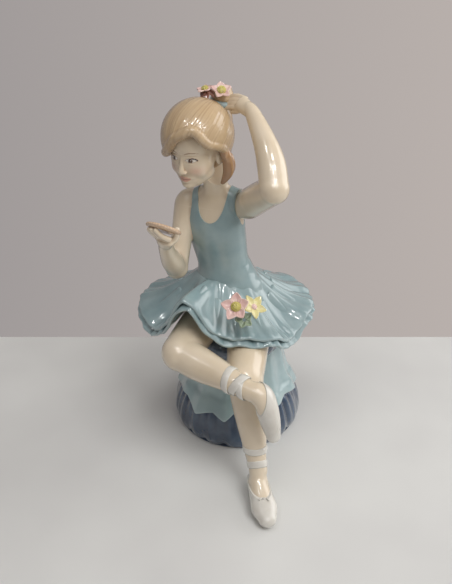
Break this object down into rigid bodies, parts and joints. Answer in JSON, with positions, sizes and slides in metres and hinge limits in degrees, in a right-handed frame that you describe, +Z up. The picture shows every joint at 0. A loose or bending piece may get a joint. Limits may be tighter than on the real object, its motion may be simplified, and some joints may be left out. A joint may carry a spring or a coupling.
{
  "type": "porcelain figurine",
  "caption": "Seated ballerina figurine in glazed porcelain, on a draped stool, one arm raised to her hair and a hand mirror in the other hand.",
  "frame": {"origin": "centre of the stool's flat underside, on the table", "axes": "+Z up; -Y towards her knees and the front; +X to her left"},
  "size_m": [0.143, 0.1885, 0.2828],
  "materials": {
    "bare_porcelain": "unglazed, matt",
    "navy_glaze": "high-gloss transparent glaze",
    "pale_blue_glaze": "high-gloss transparent glaze",
    "dress_glaze": "high-gloss transparent glaze",
    "skin_glaze": "high-gloss transparent glaze",
    "hair_glaze": "high-gloss transparent glaze",
    "tan_glaze": "high-gloss transparent glaze",
    "silver_lustre": "bright lustre under clear glaze",
    "satin_glaze": "high-gloss transparent glaze",
    "pink_glaze": "high-gloss transparent glaze",
    "olive_glaze": "high-gloss transparent glaze",
    "yellow_glaze": "high-gloss transparent glaze",
    "leaf_glaze": "high-gloss transparent glaze"
  },
  "bodies": {
    "root": {"stool_base_plate": "bare_porcelain", "stool_foot_ring": "navy_glaze", "stool_drape": "pale_blue_glaze", "stool_cushion": "navy_glaze", "bodice": "dress_glaze", "bodice_straps": "dress_glaze", "neck_and_shoulders": "skin_glaze", "skirt": "dress_glaze", "skirt_frill": "dress_glaze", "head": "skin_glaze", "hair_cap": "hair_glaze", "hair_back": "hair_glaze", "hair_curl": "hair_glaze", "hair_bun": "hair_glaze", "hair_ribbon": "pale_blue_glaze", "left_upper_arm": "skin_glaze", "left_forearm": "skin_glaze", "left_hand": "skin_glaze", "right_upper_arm": "skin_glaze", "right_forearm": "skin_glaze", "right_hand": "skin_glaze", "mirror_frame": "tan_glaze", "mirror_face": "silver_lustre", "left_thigh": "skin_glaze", "left_shin": "skin_glaze", "left_slipper": "satin_glaze", "left_ankle_ribbon": "satin_glaze", "right_thigh": "skin_glaze", "right_shin": "skin_glaze", "right_slipper": "satin_glaze", "right_ankle_ribbon": "satin_glaze", "corsage_pink_petals": "pink_glaze", "corsage_pink_centre": "olive_glaze", "corsage_yellow_petals": "yellow_glaze", "corsage_yellow_centre": "pink_glaze", "corsage_leaves": "leaf_glaze", "hair_flower_left_petals": "pink_glaze", "hair_flower_left_centre": "olive_glaze", "hair_flower_right_petals": "pink_glaze", "hair_flower_right_centre": "olive_glaze"}
  },
  "joints": []
}
